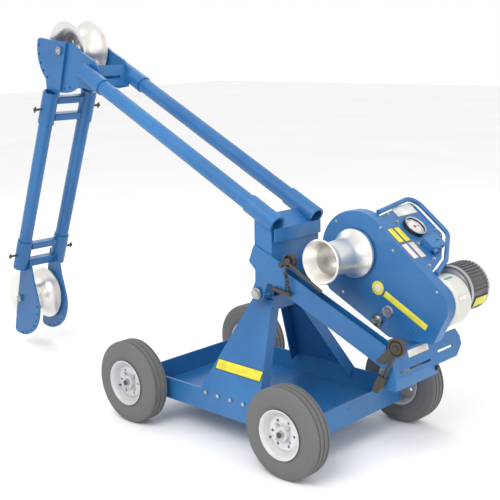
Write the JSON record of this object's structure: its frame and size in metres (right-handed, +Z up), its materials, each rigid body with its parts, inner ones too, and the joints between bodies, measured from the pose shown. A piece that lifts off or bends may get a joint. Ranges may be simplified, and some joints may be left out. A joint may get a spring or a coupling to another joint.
{
  "type": "wire rope puller",
  "caption": "Wheeled capstan rope puller: a motor-driven capstan on a tilting boom frame, with a telescopic tube boom, folding elbow and sheaves that lead the rope to ground level.",
  "frame": {"origin": "on the ground plane, midway between the four wheel axles and on the tray's centre plane", "axes": "+Z up; +X towards the motor end, the boom reaches towards -X; -Y is the capstan side"},
  "size_m": [3.0935, 0.97, 1.947],
  "materials": {
    "blue_paint": "gloss enamel over welded steel",
    "tyre_rubber": "ribbed tread, matt",
    "rim_silver": "silver paint",
    "cast_aluminium": "as cast, rope-polished",
    "bright_steel": "zinc plated",
    "dark_steel": "dark, lightly rusted",
    "gear_white": "off-white enamel",
    "motor_grey": "grey enamel on ribbed casting",
    "bell_silver": "cast cover",
    "gauge_black": "black housing",
    "needle_red": "painted pointer",
    "knob_steel": "turned and knurled"
  },
  "bodies": {
    "chassis": {"floor_pan": "blue_paint", "tray_rails": "blue_paint", "pedestal_plates": "blue_paint", "pedestal_box": "blue_paint", "tilt_shaft": "bright_steel", "rail_bolts": "bright_steel", "stub_axles": "dark_steel", "axle_nuts": "bright_steel"},
    "boom_frame": {"mast_frame": "blue_paint", "mast_head": "blue_paint", "arm_gussets": "blue_paint", "carriage_arms": "blue_paint", "cross_member": "blue_paint", "case_front_shell": "blue_paint", "case_back_shell": "blue_paint", "case_fittings": "bright_steel", "case_foot": "blue_paint", "drive_chains": "dark_steel", "gearcase": "gear_white", "motor_body": "motor_grey", "motor_end_bell": "bell_silver", "control_panel": "blue_paint", "guard_hoop": "blue_paint", "gauge_case": "gauge_black", "switch_box": "gauge_black", "front_binder": "dark_steel", "rear_binder": "dark_steel"},
    "capstan": {"capstan_drum": "cast_aluminium", "capstan_shaft": "bright_steel"},
    "intermediate": {"intermediate_shaft": "bright_steel"},
    "rotor": {"motor_rotor": "bright_steel"},
    "toggle": {"toggle_switch": "bright_steel"},
    "needle": {"gauge_needle": "needle_red"},
    "selector": {"selector_knob": "knob_steel"},
    "front_lever": {"front_handle": "dark_steel"},
    "rear_ratchet_wheel": {"rear_ratchet": "dark_steel"},
    "boom": {"boom_tubes": "blue_paint", "head_sleeves": "blue_paint", "head_plates": "blue_paint", "elbow_axle": "bright_steel"},
    "elbow_wheel": {"elbow_sheave": "cast_aluminium"},
    "elbow": {"elbow_cheeks": "blue_paint", "elbow_sleeves": "blue_paint"},
    "drop": {"drop_tubes": "blue_paint"},
    "nose": {"nose_cheeks": "blue_paint", "nose_sleeves": "blue_paint", "nose_axle": "bright_steel"},
    "nose_wheel": {"nose_sheave": "cast_aluminium"},
    "wheel_boom_near": {"tyre_boom_near": "tyre_rubber", "rim_boom_near": "rim_silver"},
    "wheel_boom_far": {"tyre_boom_far": "tyre_rubber", "rim_boom_far": "rim_silver"},
    "wheel_motor_near": {"tyre_motor_near": "tyre_rubber", "rim_motor_near": "rim_silver"},
    "wheel_motor_far": {"tyre_motor_far": "tyre_rubber", "rim_motor_far": "rim_silver"},
    "clamp_elbow_near": {"t_screw_elbow_near": "bright_steel"},
    "clamp_elbow_far": {"t_screw_elbow_far": "bright_steel"},
    "clamp_nose_near": {"t_screw_nose_near": "bright_steel"},
    "clamp_nose_far": {"t_screw_nose_far": "bright_steel"}
  },
  "joints": [
    {"name": "boom_tilt", "type": "hinge", "parent": "chassis", "child": "boom_frame", "pos_m": [0.1, 0, 0.69], "axis": [0, 1, 0], "range_deg": [0, 8]},
    {"name": "wheel_spin_boom_near", "type": "hinge", "parent": "chassis", "child": "wheel_boom_near", "pos_m": [-0.5, -0.43, 0.2032], "axis": [0, 1, 0], "continuous": true},
    {"name": "wheel_spin_boom_far", "type": "hinge", "parent": "chassis", "child": "wheel_boom_far", "pos_m": [-0.5, 0.43, 0.2032], "axis": [0, 1, 0], "continuous": true},
    {"name": "wheel_spin_motor_near", "type": "hinge", "parent": "chassis", "child": "wheel_motor_near", "pos_m": [0.5, -0.43, 0.2032], "axis": [0, 1, 0], "continuous": true},
    {"name": "wheel_spin_motor_far", "type": "hinge", "parent": "chassis", "child": "wheel_motor_far", "pos_m": [0.5, 0.43, 0.2032], "axis": [0, 1, 0], "continuous": true},
    {"name": "capstan_spin", "type": "hinge", "parent": "boom_frame", "child": "capstan", "pos_m": [0.505, 0, 0.9], "axis": [0, 1, 0], "continuous": true},
    {"name": "intermediate_spin", "type": "hinge", "parent": "boom_frame", "child": "intermediate", "pos_m": [0.682, 0, 0.66], "axis": [0, 1, 0], "continuous": true},
    {"name": "rotor_spin", "type": "hinge", "parent": "boom_frame", "child": "rotor", "pos_m": [0.884, 0, 0.72], "axis": [0, 1, 0], "continuous": true},
    {"name": "boom_extension", "type": "slide", "parent": "boom_frame", "child": "boom", "axis": [-0.8966, 0, 0.4428], "range_m": [0, 0.12]},
    {"name": "elbow_sheave_spin", "type": "hinge", "parent": "boom", "child": "elbow_wheel", "pos_m": [-1.372, 0, 1.79], "axis": [0, 1, 0], "continuous": true},
    {"name": "elbow_fold", "type": "hinge", "parent": "boom", "child": "elbow", "pos_m": [-1.372, 0, 1.79], "axis": [0, 1, 0], "range_deg": [-20, 60]},
    {"name": "drop_extension", "type": "slide", "parent": "elbow", "child": "drop", "axis": [-0.3697, 0, -0.9291], "range_m": [0, 0.04]},
    {"name": "nose_extension", "type": "slide", "parent": "drop", "child": "nose", "axis": [-0.3697, 0, -0.9291], "range_m": [0, 0.04]},
    {"name": "nose_sheave_spin", "type": "hinge", "parent": "nose", "child": "nose_wheel", "pos_m": [-1.94059, 0, 0.31253], "axis": [0, 1, 0], "continuous": true},
    {"name": "front_lever_swing", "type": "hinge", "parent": "boom_frame", "child": "front_lever", "pos_m": [0.314, 0, 0.874], "axis": [0, 1, 0], "range_deg": [0, 30]},
    {"name": "rear_ratchet_turn", "type": "hinge", "parent": "boom_frame", "child": "rear_ratchet_wheel", "pos_m": [0.885, 0, 0.592], "axis": [0, 1, 0], "range_deg": [0, 180]},
    {"name": "clamp_turn_elbow_near", "type": "hinge", "parent": "elbow", "child": "clamp_elbow_near", "pos_m": [-1.49697, -0.1997, 1.47595], "axis": [0, 1, 0], "range_deg": [-180, 180]},
    {"name": "clamp_turn_elbow_far", "type": "hinge", "parent": "elbow", "child": "clamp_elbow_far", "pos_m": [-1.49697, 0.1997, 1.47595], "axis": [0, 1, 0], "range_deg": [-180, 180]},
    {"name": "clamp_turn_nose_near", "type": "hinge", "parent": "nose", "child": "clamp_nose_near", "pos_m": [-1.8438, -0.1997, 0.60443], "axis": [0, 1, 0], "range_deg": [-180, 180]},
    {"name": "clamp_turn_nose_far", "type": "hinge", "parent": "nose", "child": "clamp_nose_far", "pos_m": [-1.8438, 0.1997, 0.60443], "axis": [0, 1, 0], "range_deg": [-180, 180]},
    {"name": "needle_turn", "type": "hinge", "parent": "boom_frame", "child": "needle", "pos_m": [0.67919, 0.236, 1.00816], "axis": [-0.6129, 0, -0.7902], "range_deg": [0, 270], "stiffness_Nm_per_rad": 0.0004},
    {"name": "selector_turn", "type": "hinge", "parent": "boom_frame", "child": "selector", "pos_m": [0.63, 0, 0.614], "axis": [0, 1, 0], "range_deg": [0, 90]},
    {"name": "toggle_throw", "type": "hinge", "parent": "boom_frame", "child": "toggle", "pos_m": [0.77979, 0.27, 0.96164], "axis": [0, 1, 0], "range_deg": [-12, 12]}
  ],
  "couplings": [
    {"joint": "intermediate_spin", "follows": "capstan_spin", "ratio": 5},
    {"joint": "rotor_spin", "follows": "capstan_spin", "ratio": 12.5}
  ]
}
